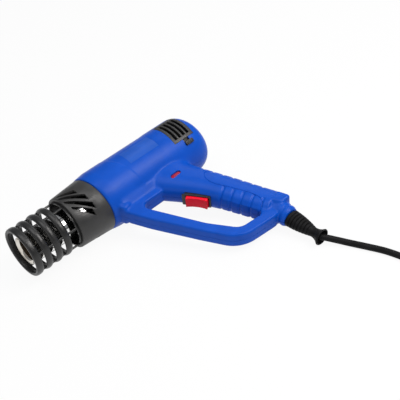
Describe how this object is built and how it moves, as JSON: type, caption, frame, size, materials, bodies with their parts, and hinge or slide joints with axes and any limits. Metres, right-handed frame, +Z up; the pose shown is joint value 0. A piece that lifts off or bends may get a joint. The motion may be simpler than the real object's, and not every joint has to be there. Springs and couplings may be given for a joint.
{
  "type": "hot air tool",
  "caption": "Mains hot air tool lying on its side, with a barrel body, closed loop handle, guarded steel outlet tube, rocker switch, air shutter and supply cord.",
  "frame": {"origin": "on the floor under the middle of the tool's box, without the cord, its coil and the plug", "axes": "+X from the outlet along the barrel to its rear, +Y away from the handle, +Z up as the tool lies on its right side"},
  "size_m": [0.3681, 0.4703, 0.0708],
  "materials": {
    "housing_blue": "satin moulded thermoplastic, fine grain",
    "moulded_black": "heat resistant moulding, satin",
    "signal_red": "smooth gloss",
    "polished_steel": "bright drawn steel",
    "zinc_plate": "zinc plated steel",
    "brass": "stamped brass",
    "bronze": "sintered bronze",
    "mica": "pressed mica sheet",
    "ceramic": "unglazed technical ceramic",
    "resistance_wire": "oxidised resistance wire",
    "laminated_iron": "stacked sheet iron",
    "ferrite": "sintered ferrite",
    "nylon": "natural nylon",
    "board_green": "coated glass fibre board",
    "rubber_black": "soft matt rubber"
  },
  "bodies": {
    "tool": {"left_housing": "housing_blue", "right_housing": "housing_blue", "left_intake_grille": "moulded_black", "right_intake_grille": "moulded_black", "nozzle_collar": "moulded_black", "outlet_tube": "polished_steel", "insulation_tube": "mica", "heater_core": "ceramic", "heater_coil": "resistance_wire", "heater_plate": "mica", "thermal_cutout": "zinc_plate", "motor_bracket": "moulded_black", "motor_can": "zinc_plate", "motor_end_cap": "moulded_black", "front_bush": "bronze", "rear_bush": "bronze", "motor_magnet_1": "ferrite", "motor_magnet_2": "ferrite", "switch_body": "moulded_black", "rocker_pin": "polished_steel", "switch_terminal_1": "brass", "switch_terminal_2": "brass", "switch_terminal_3": "brass", "lamp_lens": "signal_red", "lamp_holder": "nylon", "circuit_board": "board_green", "rectifier": "moulded_black", "suppression_capacitor": "nylon", "dropper_resistor": "ceramic", "motor_lead": "rubber_black", "switch_lead": "rubber_black", "inner_cord": "rubber_black", "cord_clamp": "moulded_black", "clamp_screw_1": "zinc_plate", "clamp_screw_2": "zinc_plate", "terminal_block": "nylon", "housing_screw_1": "zinc_plate", "housing_screw_2": "zinc_plate", "housing_screw_3": "zinc_plate", "housing_screw_4": "zinc_plate", "housing_screw_5": "zinc_plate", "housing_screw_6": "zinc_plate", "strain_relief": "rubber_black", "supply_cord": "rubber_black", "cord_coil": "rubber_black", "plug_body": "moulded_black", "plug_pin_1": "polished_steel", "plug_pin_2": "polished_steel"},
    "cage": {"guard_cage": "moulded_black"},
    "shutter": {"intake_shutter": "moulded_black"},
    "rocker": {"rocker": "signal_red"},
    "rotor": {"motor_shaft": "polished_steel", "armature": "laminated_iron", "commutator": "brass", "fan_impeller": "nylon"}
  },
  "joints": [
    {"name": "cage_pull_off", "type": "slide", "parent": "tool", "child": "cage", "axis": [-1, 0, 0], "range_m": [0, 0.09]},
    {"name": "shutter_slide", "type": "slide", "parent": "tool", "child": "shutter", "axis": [-1, 0, 0], "range_m": [0, 0.0028]},
    {"name": "rocker_pivot", "type": "hinge", "parent": "tool", "child": "rocker", "pos_m": [0.05577, 0.01096, 0.02574], "axis": [0, -0.1213, 0.9926], "range_deg": [-9, 9]},
    {"name": "rotor_spin", "type": "hinge", "parent": "tool", "child": "rotor", "pos_m": [0.04601, 0.09004, 0.0354], "axis": [1, 0, 0], "continuous": true}
  ]
}
